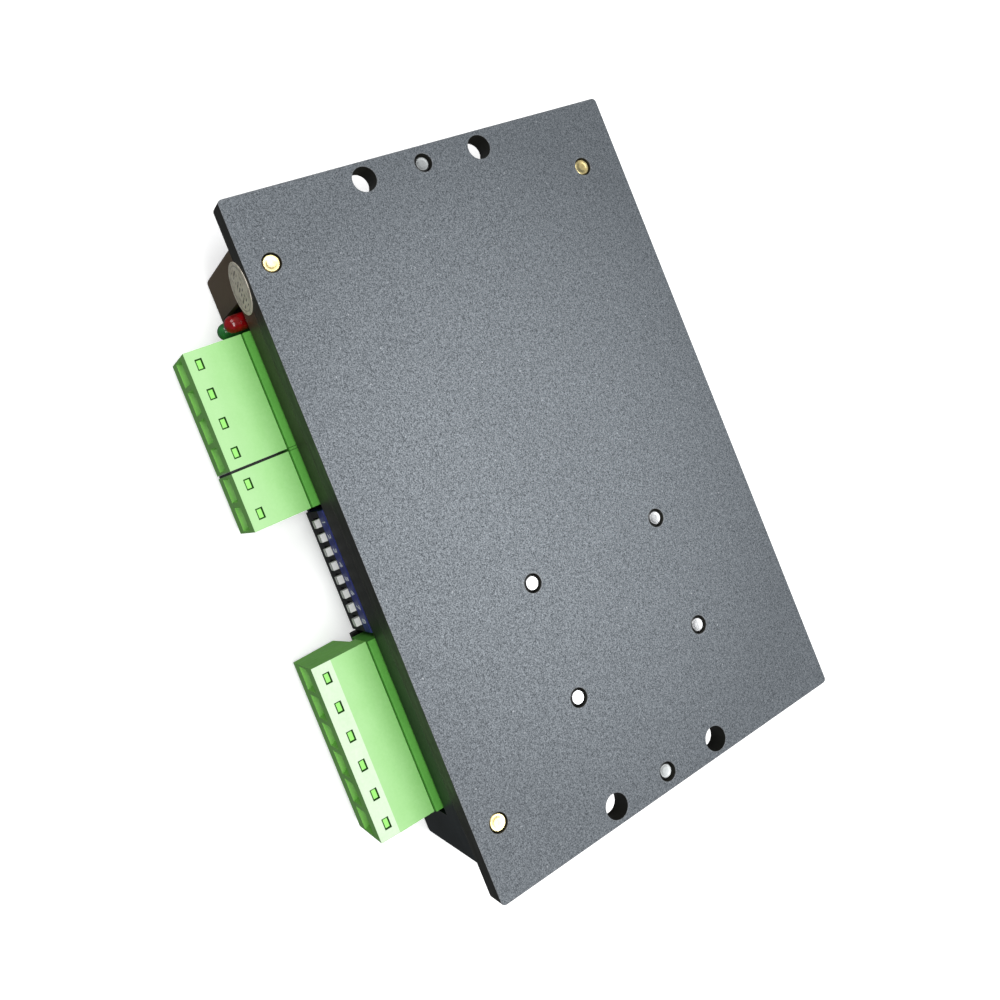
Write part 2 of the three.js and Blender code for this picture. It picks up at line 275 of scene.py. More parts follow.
class Signal:  # a socket of a node tree, for sums on it
    def __init__(self, tree, socket=None):
        self.tree = tree
        self.socket = socket

    def node(self, kind, settings=None, sockets=None, output=0):
        made = self.tree.nodes.new(kind)
        for key, value in (settings or {}).items():
            setattr(made, key, value)
        for key, value in (sockets or {}).items():
            if isinstance(value, Signal):
                self.tree.links.new(value.socket, made.inputs[key])
            else:
                if made.inputs[key].type == "RGBA" and len(value) == 3:
                    value = (*value, 1)
                made.inputs[key].default_value = value
        return Signal(self.tree, made.outputs[output] if made.outputs else None)

    def sum(self, operation, first, second=0.0):
        return self.node("ShaderNodeMath", {"operation": operation}, {0: first, 1: second})

    def __add__(self, other):
        return self.sum("ADD", self, other)

    def __sub__(self, other):
        return self.sum("SUBTRACT", self, other)

    def __rsub__(self, other):
        return self.sum("SUBTRACT", other, self)

    def __mul__(self, other):
        return self.sum("MULTIPLY", self, other)

    def __gt__(self, other):
        return self.sum("GREATER_THAN", self, other)

    def __lt__(self, other):
        return self.sum("LESS_THAN", self, other)

    __radd__ = __add__
    __rmul__ = __mul__


def place(s):
    return s.node("ShaderNodeTexCoord", output="Object")


def noise(s, scale, detail=2.0, roughness=0.5, stretch=(1, 1, 1), shift=(0, 0, 0)):
    spot = s.node("ShaderNodeMapping", None, {"Vector": place(s), "Scale": stretch, "Location": shift})
    return s.node("ShaderNodeTexNoise", None,
                  {"Vector": spot, "Scale": scale, "Detail": detail, "Roughness": roughness})


def cells(s, scale, feature="F1"):
    return s.node("ShaderNodeTexVoronoi", {"feature": feature},
                  {"Vector": place(s), "Scale": scale}, "Distance")


def span(s, value, low, high, newLow=0.0, newHigh=1.0):
    return s.node("ShaderNodeMapRange", {"clamp": True}, {0: value, 1: low, 2: high, 3: newLow, 4: newHigh})


def blend(s, factor, first, second):  # of two colours
    return s.node("ShaderNodeMix", {"data_type": "RGBA"}, {0: factor, 6: first, 7: second}, 2)


def bump(s, height, strength, depth):
    return s.node("ShaderNodeBump", None, {"Height": height, "Strength": strength, "Distance": depth})


def axis(s, index):
    return s.node("ShaderNodeSeparateXYZ", None, {0: place(s)}, index)


def worn(s, radius=0.0006):  # 1 along outside edges, 0 on flats
    bevelled = s.node("ShaderNodeBevel", {"samples": 4}, {"Radius": radius})
    flat = s.node("ShaderNodeNewGeometry", None, None, "Normal")
    match = s.node("ShaderNodeVectorMath", {"operation": "DOT_PRODUCT"}, {0: bevelled, 1: flat}, "Value")
    return span(s, match, 0.80, 0.98, 1.0, 0.0)


def newFinish(name, build):
    finish = bpy.data.materials.new(name)
    finish.use_nodes = True
    tree = finish.node_tree
    tree.nodes.clear()
    start = Signal(tree)
    shader = start.node("ShaderNodeBsdfPrincipled", None, build(start))
    start.node("ShaderNodeOutputMaterial", None, {"Surface": shader})
    return finish


def blastedAluminium(s):
    values = blastedSpec
    fine = noise(s, values["grainScale"], 3.0, 0.62)
    coarse = noise(s, values["grainScale"] * 0.42, 2.0, 0.5, shift=(0.3, 0.1, 0.2))
    cloud = noise(s, 28, 3.0, 0.5)
    grain = span(s, fine * 0.8 + coarse * 0.2, 0.36, 0.64)
    glint = cells(s, values["glintScale"])
    spark = (glint < values["glintSize"]) * span(s, noise(s, 900, 1.0), 0.56, 0.66)
    tone = blend(s, grain, values["dark"], values["light"])
    tone = blend(s, span(s, cloud, 0.35, 0.65, 0.0, 0.03), tone, values["cloud"])
    tone = blend(s, spark * 0.55, tone, values["glint"])
    tone = blend(s, worn(s) * 0.35, tone, values["edge"])
    # painted shade: the plate darkens toward its outer edges, away from the middle, where less light falls
    across = axis(s, "Y") * values["reach"][1]
    along = axis(s, "X") * values["reach"][0]
    far = span(s, along * along + across * across, 0.1, 1.1, 0.0, values["falloffShade"])
    tone = blend(s, far, tone, values["paintedShadeTone"])
    return {"Base Color": tone, "Metallic": values["metallic"],
            "Roughness": span(s, grain, 0, 1, 0.62, 0.46),
            "Normal": bump(s, grain, values["bump"], 0.00005)}


# the reach value and the two after it set the painted shade that darkens the plate toward its edges
blastedSpec = {"grainScale": 4700, "glintScale": 800, "glintSize": 0.11, "bump": 0.3, "metallic": 0.35,
               "dark": (0.032, 0.040, 0.048), "light": (0.268, 0.296, 0.322), "cloud": (0.10, 0.115, 0.135),
               "reach": (18, 22), "falloffShade": 0.36, "paintedShadeTone": (0.030, 0.036, 0.044),
               "glint": (0.55, 0.57, 0.60), "edge": (0.27, 0.27, 0.27)}


def coverPaint(s):
    values = coverPaintSpec
    peel = noise(s, 1500, 2.0, 0.5)
    dust = noise(s, 70, 5.0, 0.6)
    fleck = span(s, noise(s, 2600, 1.0), 0.66, 0.74)
    # painted reflection: the dark paint is tinted warm brown at -X and cool at +X, and the -X end on the
    # connector side takes the brown end colour, as reflections of the surroundings
    reflectionDrift = span(s, axis(s, "X"), -0.055, 0.03)
    tone = blend(s, reflectionDrift, values["warmReflection"], values["coolReflection"])
    reflectedEndMask = s.sum("MAXIMUM", span(s, axis(s, "X"), -0.047, -0.037), span(s, axis(s, "Y"), -0.037, -0.033))
    tone = blend(s, reflectedEndMask, values["end"], tone)
    tone = blend(s, span(s, dust, 0.45, 0.75, 0.0, 0.35), tone, values["dust"])
    tone = blend(s, fleck * 0.25, tone, values["fleck"])
    tone = blend(s, worn(s, 0.0004) * 0.5, tone, values["edge"])
    return {"Base Color": tone, "Roughness": span(s, dust, 0.3, 0.7, 0.34, 0.5),
            "Normal": bump(s, peel, 0.22, 0.00006), "Specular IOR Level": 0.2}


# the end, warm and cool colours are dark paint with a painted reflection of the surroundings
coverPaintSpec = {"end": (0.15, 0.100, 0.056), "warmReflection": (0.038, 0.028, 0.017),
                  "coolReflection": (0.002, 0.008, 0.010), "dust": (0.05, 0.045, 0.04),
                  "fleck": (0.09, 0.085, 0.08), "edge": (0.12, 0.11, 0.10)}


def mouldedPlastic(colour, deep, gloss=0.4, coat=0.0, grain=0.14, shine=0.25):
    def build(s):
        texture = noise(s, 2100, 3.0, 0.55)
        flow = noise(s, 120, 4.0, 0.55, stretch=(1, 2.2, 1))
        smear = noise(s, 420, 3.0, 0.5, stretch=(0.6, 1, 2.4), shift=(0.1, 0.2, 0.3))
        tone = blend(s, span(s, flow, 0.3, 0.7), deep, colour)
        pale = tuple(min(1, c * 1.5 + 0.02) for c in colour)
        rubbed = tuple(min(1, c * 0.85 + 0.05) for c in colour)
        tone = blend(s, span(s, texture, 0.35, 0.7, 0.0, 0.14), tone, pale)
        tone = blend(s, worn(s, 0.0003) * 0.28, tone, rubbed)
        return {"Base Color": tone, "Roughness": span(s, smear, 0.3, 0.7, gloss - 0.06, gloss + 0.08),
                "Normal": bump(s, texture, grain, 0.00004), "Specular IOR Level": shine,
                "Coat Weight": coat, "Coat Roughness": 0.25}
    return build


def litFaceGradient(s):  # painted light: paler toward the wire end and deeper toward the header, as the light falls across the face
    values = litFaceSpec
    flow = noise(s, 160, 4.0, 0.55, stretch=(1, 2.2, 1))
    texture = noise(s, 2100, 3.0, 0.55)
    lightFalloff = span(s, axis(s, "Y") + (flow - 0.5) * 0.002, values["from"], values["to"])
    tone = blend(s, lightFalloff, values["pale"], values["deep"])
    tone = blend(s, span(s, texture, 0.35, 0.7, 0.0, 0.1), tone, values["speck"])
    return {"Base Color": tone, "Roughness": span(s, flow, 0.3, 0.7, 0.36, 0.46),
            "Normal": bump(s, texture, 0.14, 0.00004), "Specular IOR Level": 0.25}


# painted light: pale is the well-lit wire end of the face, deep the less-lit end by the header
litFaceSpec = {"from": -0.0475, "to": -0.0385, "pale": (0.365, 0.64, 0.28), "deep": (0.22, 0.54, 0.14),
                "speck": (0.46, 0.76, 0.36)}


def turnedMetal(colour, dark, rough=0.25, lines=5200, metallic=1.0):
    def build(s):
        turning = noise(s, lines, 2.0, 0.5, stretch=(0.12, 1, 1))
        stain = noise(s, 520, 4.0, 0.6)
        tone = blend(s, span(s, stain, 0.38, 0.72, 0.0, 0.75), colour, dark)
        tone = blend(s, span(s, turning, 0.4, 0.6, 0.0, 0.3), tone, tuple(c * 0.82 for c in colour))
        return {"Base Color": tone, "Metallic": metallic,
                "Roughness": span(s, stain, 0.3, 0.7, rough, rough + 0.16),
                "Normal": bump(s, turning, 0.12, 0.00003)}
    return build


def solderMask(s):
    track = s.node("ShaderNodeTexBrick", {"offset": 0.37},
                   {"Vector": place(s), "Scale": 260.0, "Mortar Size": 0.016, "Brick Width": 0.9,
                    "Row Height": 0.33}, "Fac")
    web = cells(s, 330, "DISTANCE_TO_EDGE")
    copper = span(s, web, 0.03, 0.05, 1.0, 0.0) * 0.5 + track * 0.5
    mottle = noise(s, 240, 3.0)
    tone = blend(s, copper, (0.012, 0.115, 0.05), (0.03, 0.22, 0.09))
    tone = blend(s, span(s, mottle, 0.4, 0.7, 0, 0.3), tone, (0.008, 0.08, 0.035))
    via = cells(s, 700) < 0.12
    tone = blend(s, via * 0.7, tone, (0.35, 0.42, 0.30))
    return {"Base Color": tone, "Roughness": span(s, mottle, 0.3, 0.7, 0.28, 0.42),
            "Normal": bump(s, copper, 0.3, 0.00003)}


def tintedLens(colour, deep):
    def build(s):
        swirl = noise(s, 900, 3.0)
        tone = blend(s, span(s, swirl, 0.35, 0.65), deep, colour)
        return {"Base Color": tone, "Roughness": span(s, swirl, 0.3, 0.7, 0.05, 0.12), "IOR": 1.52,
                "Transmission Weight": 0.45, "Coat Weight": 0.3, "Coat Roughness": 0.08}
    return build


def sealPaper(s):
    centre = sealSpec["centre"]
    x = axis(s, "X") - centre[0]
    z = axis(s, "Z") - centre[2]
    radius = s.sum("SQRT", x * x + z * z)
    fibre = noise(s, 1600, 4.0, 0.6)
    blot = noise(s, 760, 3.0, 0.55, shift=(0.4, 0.0, 0.1))
    ring = (radius > 0.0036) * (radius < 0.00385)
    band = s.sum("ABSOLUTE", z) < 0.0013
    strokes = s.sum("PINGPONG", x * 1.0 + z * 0.35, 0.00042) < 0.00017
    broken = span(s, noise(s, 1100, 2.0), 0.48, 0.52)
    marks = band * strokes * broken * (radius < 0.0033)
    rows = (s.sum("PINGPONG", z, 0.0011) < 0.00022) * (1 - band) * (radius < 0.003) * broken
    ink = s.sum("MAXIMUM", s.sum("MAXIMUM", marks, rows * 0.35), ring * 0.4)
    tone = blend(s, span(s, fibre, 0.3, 0.7), (0.78, 0.69, 0.56), (0.96, 0.89, 0.77))
    tone = blend(s, span(s, blot, 0.5, 0.64, 0.0, 0.4), tone, (0.30, 0.27, 0.22))
    tone = blend(s, ink * 0.85, tone, (0.05, 0.045, 0.05))
    return {"Base Color": tone, "Roughness": span(s, blot, 0.3, 0.7, 0.5, 0.7),
            "Normal": bump(s, blot, 0.4, 0.00012)}


def chipEpoxy(s):
    grit = noise(s, 3200, 2.0)
    tone = blend(s, span(s, grit, 0.3, 0.7), (0.012, 0.012, 0.013), (0.035, 0.035, 0.036))
    return {"Base Color": tone, "Roughness": span(s, grit, 0.3, 0.7, 0.45, 0.65),
            "Normal": bump(s, grit, 0.3, 0.00003)}


def shrunkSleeve(s):
    ripple = noise(s, 180, 2.0, stretch=(1, 0.2, 1))
    stripe = span(s, axis(s, "Z"), 0.0035, 0.0038, 1.0, 0.0)
    tone = blend(s, span(s, ripple, 0.3, 0.7), (0.012, 0.014, 0.02), (0.025, 0.027, 0.035))
    tone = blend(s, stripe * 0.9, tone, (0.30, 0.31, 0.33))
    return {"Base Color": tone, "Roughness": span(s, ripple, 0.3, 0.7, 0.22, 0.34), "Coat Weight": 0.4}


def thermalPad(s):
    grit = noise(s, 1300, 3.0)
    tone = blend(s, span(s, grit, 0.3, 0.7), (0.32, 0.40, 0.46), (0.45, 0.52, 0.57))
    return {"Base Color": tone, "Roughness": 0.8, "Normal": bump(s, grit, 0.4, 0.0001)}


def paleFloor(s):
    grain = noise(s, 300, 3.0)
    tone = blend(s, span(s, grain, 0.3, 0.7), (0.84, 0.84, 0.84), (0.87, 0.87, 0.87))
    return {"Base Color": tone, "Roughness": 0.9, "Specular IOR Level": 0.0,
            "Emission Color": (1.0, 1.0, 1.0), "Emission Strength": 0.42}


sealSpec = {"centre": middleOf("seal_sticker")}
finishes = {
    "plate": newFinish("blastedAluminium", blastedAluminium),
    "cover": newFinish("coverPaint", coverPaint),
    "plug": newFinish("plugGreen", mouldedPlastic((0.27, 0.74, 0.125), (0.22, 0.64, 0.10), 0.4, 0.1)),
    "header": newFinish("headerGreen", mouldedPlastic((0.115, 0.415, 0.06), (0.09, 0.35, 0.046), 0.46,
                                                      shine=0.15)),
    # painted sheen: a pale finish standing in for the highlight on the 6-way plug's outer strip
    "paintedSheen": newFinish("plugPaintedSheen", mouldedPlastic((0.56, 0.70, 0.50), (0.50, 0.66, 0.44), 0.5, 0.2)),
    "plugFaceLitGradient": newFinish("plugFaceLitGradient", litFaceGradient),
    # painted shade: a darker green for the walls of the test pockets
    "pocketShade": newFinish("pocketShadeGreen", mouldedPlastic((0.045, 0.17, 0.025), (0.03, 0.12, 0.018), 0.5)),
    # painted shade: a near-black finish for the plate's sides and drilled walls
    "plateSideShade": newFinish("plateSideShade", mouldedPlastic((0.034, 0.034, 0.028), (0.018, 0.018, 0.016), 0.5)),
    "brass": newFinish("turnedBrass", turnedMetal((0.93, 0.80, 0.42), (0.66, 0.50, 0.18), 0.24)),
    "zinc": newFinish("zincSteel", turnedMetal((0.80, 0.81, 0.82), (0.55, 0.56, 0.57), 0.2)),
    "dark": newFinish("darkSteel", turnedMetal((0.42, 0.44, 0.44), (0.26, 0.27, 0.27), 0.32)),
    "tin": newFinish("tinPlate", turnedMetal((0.78, 0.77, 0.74), (0.60, 0.58, 0.54), 0.28)),
    "board": newFinish("solderMask", solderMask),
    "switch": newFinish("switchBlue", mouldedPlastic((0.035, 0.05, 0.28), (0.022, 0.03, 0.19), 0.4)),
    # black for the lamp holder; painted shade on the switch's slot panel and on the rib in the plug gap
    "blackPlasticAndShade": newFinish("blackPlasticAndShade", mouldedPlastic((0.012, 0.012, 0.014), (0.008, 0.008, 0.009), 0.5)),
    "knob": newFinish("knobWhite", mouldedPlastic((0.72, 0.73, 0.70), (0.62, 0.63, 0.60), 0.42)),
    "ink": newFinish("printWhite", mouldedPlastic((0.70, 0.73, 0.80), (0.60, 0.63, 0.72), 0.5)),
    "red": newFinish("redLens", tintedLens((0.50, 0.006, 0.010), (0.26, 0.003, 0.005))),
    "green": newFinish("greenLens", tintedLens((0.06, 0.42, 0.10), (0.03, 0.24, 0.06))),
    "seal": newFinish("sealPaper", sealPaper),
    "chip": newFinish("chipEpoxy", chipEpoxy),
    "sleeve": newFinish("shrunkSleeve", shrunkSleeve),
    "pad": newFinish("thermalPad", thermalPad),
}
print("finishes made:", len(finishes))


# floor, lights and camera

stageSpec = {"floorSize": 6.0, "floorZ": -0.05 * mm, "lens": 33.901, "shift": (0.0696, -0.0912),
             "eye": (-0.019554, -0.081303, 0.163545),
             "right": (0.37373, 0.84065, 0.39194), "up": (-0.92738, 0.34632, 0.14149)}


def addStage():
    deselectAll()
    bpy.ops.mesh.primitive_plane_add(size=stageSpec["floorSize"], location=(0, 0, stageSpec["floorZ"]))
    floor = settle(bpy.context.object, "floor")
    floor.data.materials.append(newFinish("paleFloor", paleFloor))
    floor.visible_diffuse = False  # it throws no light back up, as a dark bench would not
    floor.visible_glossy = False


def addCamera():
    bpy.ops.object.camera_add(location=stageSpec["eye"])
    camera = bpy.context.object
    right, up = Vector(stageSpec["right"]).normalized(), Vector(stageSpec["up"]).normalized()
    back = right.cross(up).normalized()
    camera.rotation_euler = Matrix((right, up, back)).transposed().to_euler()
    camera.data.sensor_width = 36
    camera.data.lens = stageSpec["lens"]
    camera.data.shift_x, camera.data.shift_y = stageSpec["shift"]
    camera.data.clip_start = 0.005
    camera.data.clip_end = 20
    scene.camera = camera


lightSpec = {
    "softBox": {"place": (0.12, 0.02, 0.70), "size": 0.62, "power": 6.4},
    "leftFill": {"place": (-0.45, -0.16, 0.55), "size": 0.40, "power": 1.5},
}


worldSpec = {"colour": (0.93, 0.96, 1.0, 1), "strength": 0.16}


def addLights():
    for name, values in lightSpec.items():
        bpy.ops.object.light_add(type="AREA", location=values["place"])
        light = bpy.context.object
        light.name = name
        light.data.shape = "SQUARE"
        light.data.size = values["size"]
        light.data.energy = values["power"]
        light.rotation_euler = (-Vector(values["place"])).to_track_quat("-Z", "Y").to_euler()
    world = bpy.data.worlds.new("studio")
    world.use_nodes = True
    sky = world.node_tree.nodes["Background"]
    sky.inputs["Color"].default_value = worldSpec["colour"]
    sky.inputs["Strength"].default_value = worldSpec["strength"]
    scene.world = world


addStage()
addCamera()
addLights()
print("stage ready")


# mounting plate

boardFixings = [f"standoff_{i}" for i in (1, 2, 3)] + [f"power_screw_{i}" for i in (1, 2, 3, 4)]
coverFixings = ["cover_screw_1", "cover_screw_2"]
plateSpec = {"cornerRadius": 0.8 * mm, "edge": 0.22 * mm, "holeRound": 64, "threadHole": 1.62 * mm,
             "mountHole": 2.15 * mm, "mountX": 56 * mm, "mountY": (-12.9 * mm, 10.05 * mm)}


def addPlate():
    low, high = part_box("base_plate")
    plate = addBlock("mountingPlate", low, high)
    bevelEdges(plate, isUpright, plateSpec["cornerRadius"], 6)
    tools = []
    for x in (-plateSpec["mountX"], plateSpec["mountX"]):
        for y in plateSpec["mountY"]:
            tools.append(drill((x, y), low, high, plateSpec["mountHole"], plateSpec["holeRound"]))
    for node in boardFixings + coverFixings:
        tools.append(drill(middleOf(node), low, high, plateSpec["threadHole"], plateSpec["holeRound"]))
    boolean(plate, tools)
    softenEdges(plate, plateSpec["edge"], 2)
    finishPiece(plate, "plate", "root", "blasted_aluminium", ["base_plate"])
    plate.data.materials.append(finishes["plateSideShade"])
    for face in plate.data.polygons:  # painted shade: the sides and drilled walls take a near-black finish
        if abs(face.normal.z) < 0.5:
            face.material_index = 1


addPlate()
print("plate made")


# sheet cover

coverSpec = {"wall": 1.2 * mm, "fold": 0.9 * mm, "edge": 0.12 * mm, "ends": (-52.5 * mm, 53.3 * mm),
             "windowX": (-44.8 * mm, 46 * mm), "windowZ": (1.6 * mm, 14.6 * mm),
             "notchX": (-9 * mm, 14.8 * mm), "notchDepth": 1.5 * mm, "notchDrop": 0.4 * mm,
             "tabWidth": 10 * mm, "tabReach": 58.6 * mm, "tabY": -1.45 * mm, "tabCorner": 1.6 * mm,
             "screwHole": 1.6 * mm}


def foldedTray(name, ends, low, high, fold):  # a box whose lower and standing edges are folds
    tray = addBlock(name, (ends[0], low.y, low.z), (ends[1], high.y, high.z))
    bevelEdges(tray, lambda a, b: not (a.z > high.z - 1e-6 and b.z > high.z - 1e-6), fold, 5)
    return tray


def addCover():
    low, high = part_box("cover")
    values = coverSpec
    wall = values["wall"]
    ends = values["ends"]
    inset = Vector((0, wall, wall))
    cover = foldedTray("sheetCover", ends, low, high, values["fold"])
    inside = foldedTray("inside", (ends[0] + wall, ends[1] - wall), low + inset,
                        Vector((0, high.y - wall, high.z + mm)), values["fold"] / 2)
    boolean(cover, [inside])
    tabs = []
    for side, x in ((-1, ends[0]), (1, ends[1])):
        start, reach = sorted((x - side * wall * 0.9, side * values["tabReach"]))
        tab = addBlock("tab", (start, values["tabY"] - values["tabWidth"] / 2, high.z - wall),
                       (reach, values["tabY"] + values["tabWidth"] / 2, high.z))
        bevelEdges(tab, lambda a, b: isUpright(a, b) and abs(abs(a.x) - values["tabReach"]) < 1e-6,
                   values["tabCorner"], 6)
        tabs.append(tab)
    for tab in tabs:
        boolean(cover, [tab], "UNION")
    window = addBlock("tool", (values["windowX"][0], low.y - mm, values["windowZ"][0]),
                      (values["windowX"][1], low.y + wall + mm, values["windowZ"][1]))
    notch = addBlock("tool", (values["notchX"][0], low.y - mm, low.z - mm),
                     (values["notchX"][1], low.y + values["notchDepth"],
                      values["windowZ"][1] - values["notchDrop"]))
    boolean(cover, [window])
    boolean(cover, [notch])
    holes = []
    for node in coverFixings:
        holes.append(addPost("tool", middleOf(node), high.z - 3 * mm, high.z + mm, values["screwHole"], 40))
    boolean(cover, holes)
    softenEdges(cover, values["edge"], 2, 40)
    finishPiece(cover, "cover", "root", "cover_paint", ["cover"])


addCover()
print("cover made")


# screws and standoffs

screwSpec = {"tipSteps": ((0.315 * mm, 0.35 * mm), (0.25 * mm, 0), (0.3 * mm, -0.06 * mm)),
             "headChamfer": 0.35 * mm, "headHeight": 1.8 * mm, "recess": 0.9 * mm,
             "recessArm": 1.25 * mm, "recessHalf": 0.28 * mm,
             "boardRadius": 1.22 * mm, "radius": 1.42 * mm, "powerDrop": 0.55 * mm, "coverDrop": 0.75 * mm}


def addPanScrew(name, node, radius, tipDrop, metal):
    low, high, spot = measure(node)
    headTop = low.z  # the head is under its seat
    headRadius = (high.x - low.x) / 2
    chamfer = screwSpec["headChamfer"]
    seat = low.z + screwSpec["headHeight"]
    tip = high.z - tipDrop
    head = addPost(name, spot, headTop + chamfer, seat, headRadius, 40)
    pickFaces(head, looksDown)
    bpy.ops.mesh.extrude_region_move(TRANSFORM_OT_translate={"value": (0, 0, -chamfer)})
    bpy.ops.transform.resize(value=(0.72, 0.72, 1), center_override=(spot.x, spot.y, headTop))
    doneEditing()
    long, half = screwSpec["recessArm"], screwSpec["recessHalf"]
    floorZ = headTop + screwSpec["recess"]
    arms = [addBlock("tool", (spot.x - a, spot.y - b, headTop - mm), (spot.x + a, spot.y + b, floorZ))
            for a, b in ((long, half), (half, long))]
    boolean(head, arms)
    softenEdges(head, 0.1 * mm, 2)
    shank = addPost("shank", spot, seat - 0.2 * mm, tip, radius, 40)
    insetFaces(shank, looksUp, screwSpec["tipSteps"])
    screw = joinPieces([head, shank], name)
    finishPiece(screw, metal, "root", metal + "_steel", [node], 30)


def addScrews():
    sets = (("board", 3, screwSpec["boardRadius"], 0, "zinc"),
            ("power", 4, screwSpec["radius"], screwSpec["powerDrop"], "zinc"),
            ("cover", 2, screwSpec["radius"], screwSpec["coverDrop"], "dark"))
    for kind, count, radius, drop, metal in sets:
        for index in range(1, count + 1):
            addPanScrew(f"{kind}Screw{index}", f"{kind}_screw_{index}", radius, drop, metal)


standoffSpec = {"acrossFlats": 5.5 * mm, "shank": 1.45 * mm, "tipDrop": 0.35 * mm, "bore": 1.27 * mm,
                "boreDepth": 4 * mm, "edge": 0.3 * mm,
                "tipSteps": ((0.16 * mm, 0.12 * mm), (0.5 * mm, 0.02 * mm), (0.2 * mm, -0.08 * mm))}


def addStandoff(index):
    low, high, spot = measure(f"standoff_{index}")
    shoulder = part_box("base_plate")[0].z - 0.02 * mm
    corner = standoffSpec["acrossFlats"] / 2 / math.cos(math.pi / 6)
    body = addPost(f"standoff{index}", spot, low.z, shoulder, corner, 6)
    softenEdges(body, standoffSpec["edge"], 2, 80)
    shank = addPost("shank", spot, shoulder - 0.2 * mm, high.z - standoffSpec["tipDrop"],
                    standoffSpec["shank"])
    insetFaces(shank, looksUp, standoffSpec["tipSteps"])
    bore = addPost("tool", spot, low.z - mm, low.z + standoffSpec["boreDepth"], standoffSpec["bore"], 40)
    boolean(body, [bore])
    standoff = joinPieces([body, shank], f"standoff{index}")
    finishPiece(standoff, "brass", "root", "brass", [f"standoff_{index}"], 30)


addScrews()
for index in (1, 2, 3):
    addStandoff(index)
print("screws and standoffs made")


# circuit board and what it carries

boardSpec = {"edge": 0.1 * mm, "corner": 1.5 * mm, "screwHole": 1.7 * mm}


def addBoard():
    low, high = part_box("circuit_board")
    board = addBlock("circuitBoard", low, high)
    bevelEdges(board, isUpright, boardSpec["corner"], 5)
    boolean(board, [drill(middleOf(node), low, high, boardSpec["screwHole"], 32) for node in boardFixings])
    softenEdges(board, boardSpec["edge"], 1)
    finishPiece(board, "board", "root", "board_green", ["circuit_board"])


legSpec = {"pitch": 1.27 * mm, "finePitch": 0.8 * mm, "reach": 0.45 * mm, "halfLong": 0.6 * mm,
           "halfWide": 0.17 * mm, "rise": 0.25 * mm}
chipSpec = {  # centre x, y and size x, y, z in mm, and how many sides have legs
    "processor": {"at": (-24, 2), "size": (10, 10, 1.4), "legs": 4, "side": -1},
    "memory": {"at": (-38, 8), "size": (5, 6, 1.6), "legs": 2, "side": -1},
    "opto1": {"at": (-33, -18), "size": (6.5, 4.6, 3.4), "legs": 2, "side": -1},
    "opto2": {"at": (-24, -18), "size": (6.5, 4.6, 3.4), "legs": 2, "side": -1},
    "opto3": {"at": (-15, -18), "size": (6.5, 4.6, 3.4), "legs": 2, "side": -1},
    "regulator": {"at": (0, 20), "size": (10, 8.6, 4.4), "legs": 1, "side": -1},
    "bridge1": {"at": (20.5, 2), "size": (9, 14, 1.5), "legs": 2, "side": 1},
    "bridge2": {"at": (32.5, 2), "size": (9, 14, 1.5), "legs": 2, "side": 1},
}


def addChip(name, values):
    boardLow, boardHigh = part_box("circuit_board")
    sizeX, sizeY, sizeZ = (v * mm for v in values["size"])
    x, y = (v * mm for v in values["at"])
    base = boardHigh.z if values["side"] > 0 else boardLow.z
    nearZ = base + values["side"] * 0.12 * mm
    farZ = base + values["side"] * sizeZ
    body = addBlock(name, (x - sizeX / 2, y - sizeY / 2, min(nearZ, farZ)),
                    (x + sizeX / 2, y + sizeY / 2, max(nearZ, farZ)))
    taperFaces(body, looksUp if values["side"] > 0 else looksDown, (0.95, 0.95, 1), (x, y, farZ))
    softenEdges(body, 0.12 * mm, 2)
    finishPiece(body, "chip", "root", "sleeve_black")
    count = int(sizeY / legSpec["finePitch" if values["legs"] == 4 else "pitch"])
    zs = sorted((base, base + values["side"] * legSpec["rise"]))
    long, wide = legSpec["halfLong"], legSpec["halfWide"]
    legs = []
    sides = {1: [(0, -1)], 2: [(-1, 0), (1, 0)], 4: [(-1, 0), (1, 0), (0, -1), (0, 1)]}[values["legs"]]
    for dx, dy in sides:
        for step in range(count):
            along = (step - (count - 1) / 2) * (sizeY / count)
            cx = x + dx * (sizeX / 2 + legSpec["reach"]) + (along if dy else 0)
            cy = y + dy * (sizeY / 2 + legSpec["reach"]) + (along if dx else 0)
            halfX = long if dx else wide
            halfY = long if dy else wide
            legs.append(addBlock("leg", (cx - halfX, cy - halfY, zs[0]), (cx + halfX, cy + halfY, zs[1])))
    strip = joinPieces(legs, name + "Legs")
    softenEdges(strip, 0.05 * mm, 1)
    finishTin(strip)


smallPartSpec = {"rows": ((-44, -24, 6), (-10, -8, 7), (2, -27, 8), (2, 8, 6), (-44, 20, 6), (-24, 22, 6)),
                 "size": (2.0, 1.25, 0.55), "gap": 2.5}


def addSmallParts():  # rows of chip resistors, with their end caps
    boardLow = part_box("circuit_board")[0]
    length, width, height = (v * mm for v in smallPartSpec["size"])
    half = width / 2
    capHalf = half + 0.02 * mm
    capZ = boardLow.z - height - 0.03 * mm
    bodies, caps = [], []
    for startX, startY, count in smallPartSpec["rows"]:
        for step in range(count):
            x = (startX + step * smallPartSpec["gap"]) * mm
            y = startY * mm
            bodies.append(addBlock("resistor", (x - half, y - length / 2 + 0.3 * mm, boardLow.z - height),
                                   (x + half, y + length / 2 - 0.3 * mm, boardLow.z)))
            for side in (-1, 1):
                mid = y + side * (length / 2 - 0.15 * mm)
                caps.append(addBlock("cap", (x - capHalf, mid - 0.2 * mm, capZ),
                                     (x + capHalf, mid + 0.2 * mm, boardLow.z)))
    resistors = softenEdges(joinPieces(bodies, "chipResistors"), 0.05 * mm, 1)
    ends = softenEdges(joinPieces(caps, "resistorCaps"), 0.06 * mm, 1)
    finishPiece(resistors, "chip", "root", "sleeve_black")
    finishTin(ends)


